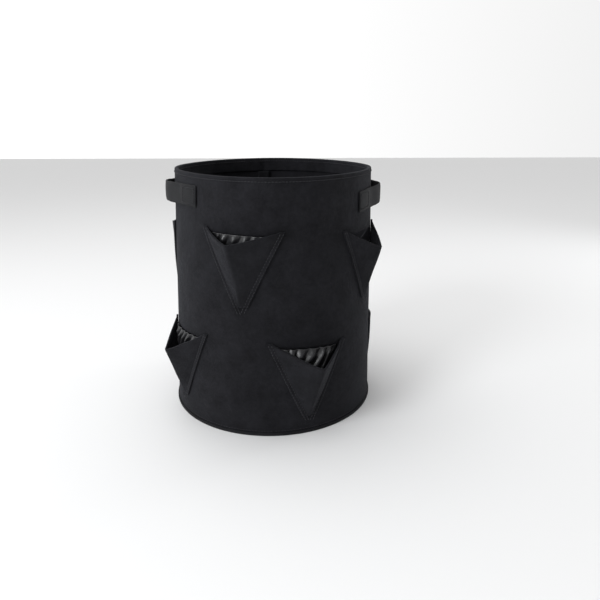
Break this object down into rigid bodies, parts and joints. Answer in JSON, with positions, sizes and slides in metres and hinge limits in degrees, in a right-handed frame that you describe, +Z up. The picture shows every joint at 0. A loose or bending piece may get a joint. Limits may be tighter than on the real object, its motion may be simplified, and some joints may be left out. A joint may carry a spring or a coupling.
{
  "type": "fabric grow bag",
  "caption": "Round black felt grow bag with two strap handles and triangular planting pockets sewn over slits in its side wall.",
  "frame": {"origin": "middle of the base's underside", "axes": "+Z up the bag, -Y the front, +X to the right"},
  "size_m": [0.3196, 0.3257, 0.35],
  "materials": {
    "wall_felt": "matte",
    "pocket_felt": "matte",
    "lining_felt": "matte",
    "strap": "matte",
    "thread": "satin"
  },
  "bodies": {
    "bag": {"side_wall": "wall_felt", "rim_hem": "lining_felt", "base_panel": "wall_felt", "base_binding": "strap", "back_seam_lap": "lining_felt", "back_seam_stitching": "thread", "rim_stitching": "thread", "base_stitching": "thread", "pocket_upper_1": "pocket_felt", "pocket_upper_1_stitching": "thread", "pocket_upper_2": "pocket_felt", "pocket_upper_2_stitching": "thread", "pocket_upper_3": "pocket_felt", "pocket_upper_3_stitching": "thread", "pocket_upper_4": "pocket_felt", "pocket_upper_4_stitching": "thread", "pocket_lower_1": "pocket_felt", "pocket_lower_1_stitching": "thread", "pocket_lower_2": "pocket_felt", "pocket_lower_2_stitching": "thread", "pocket_lower_3": "pocket_felt", "pocket_lower_3_stitching": "thread", "pocket_lower_4": "pocket_felt", "pocket_lower_4_stitching": "thread", "handle_left_front_end": "strap", "handle_left_front_shoulder": "strap", "handle_left_front_stitching": "thread", "handle_left_rear_end": "strap", "handle_left_rear_shoulder": "strap", "handle_left_rear_stitching": "thread", "handle_right_front_end": "strap", "handle_right_front_shoulder": "strap", "handle_right_front_stitching": "thread", "handle_right_rear_end": "strap", "handle_right_rear_shoulder": "strap", "handle_right_rear_stitching": "thread"},
    "handle_left": {"handle_left_grip": "strap"},
    "handle_right": {"handle_right_grip": "strap"}
  },
  "joints": [
    {"name": "handle_left_swing", "type": "hinge", "parent": "bag", "child": "handle_left", "pos_m": [-0.12885, -0.00901, 0.318], "axis": [-0.0698, 0.9976, 0], "range_deg": [-22, 22], "deforming": ["handle_left_front_shoulder", "handle_left_rear_shoulder"]},
    {"name": "handle_right_swing", "type": "hinge", "parent": "bag", "child": "handle_right", "pos_m": [0.12896, 0.00902, 0.31145], "axis": [0.0697, -0.9963, -0.0498], "range_deg": [-22, 22], "deforming": ["handle_right_front_shoulder", "handle_right_rear_shoulder"]}
  ]
}
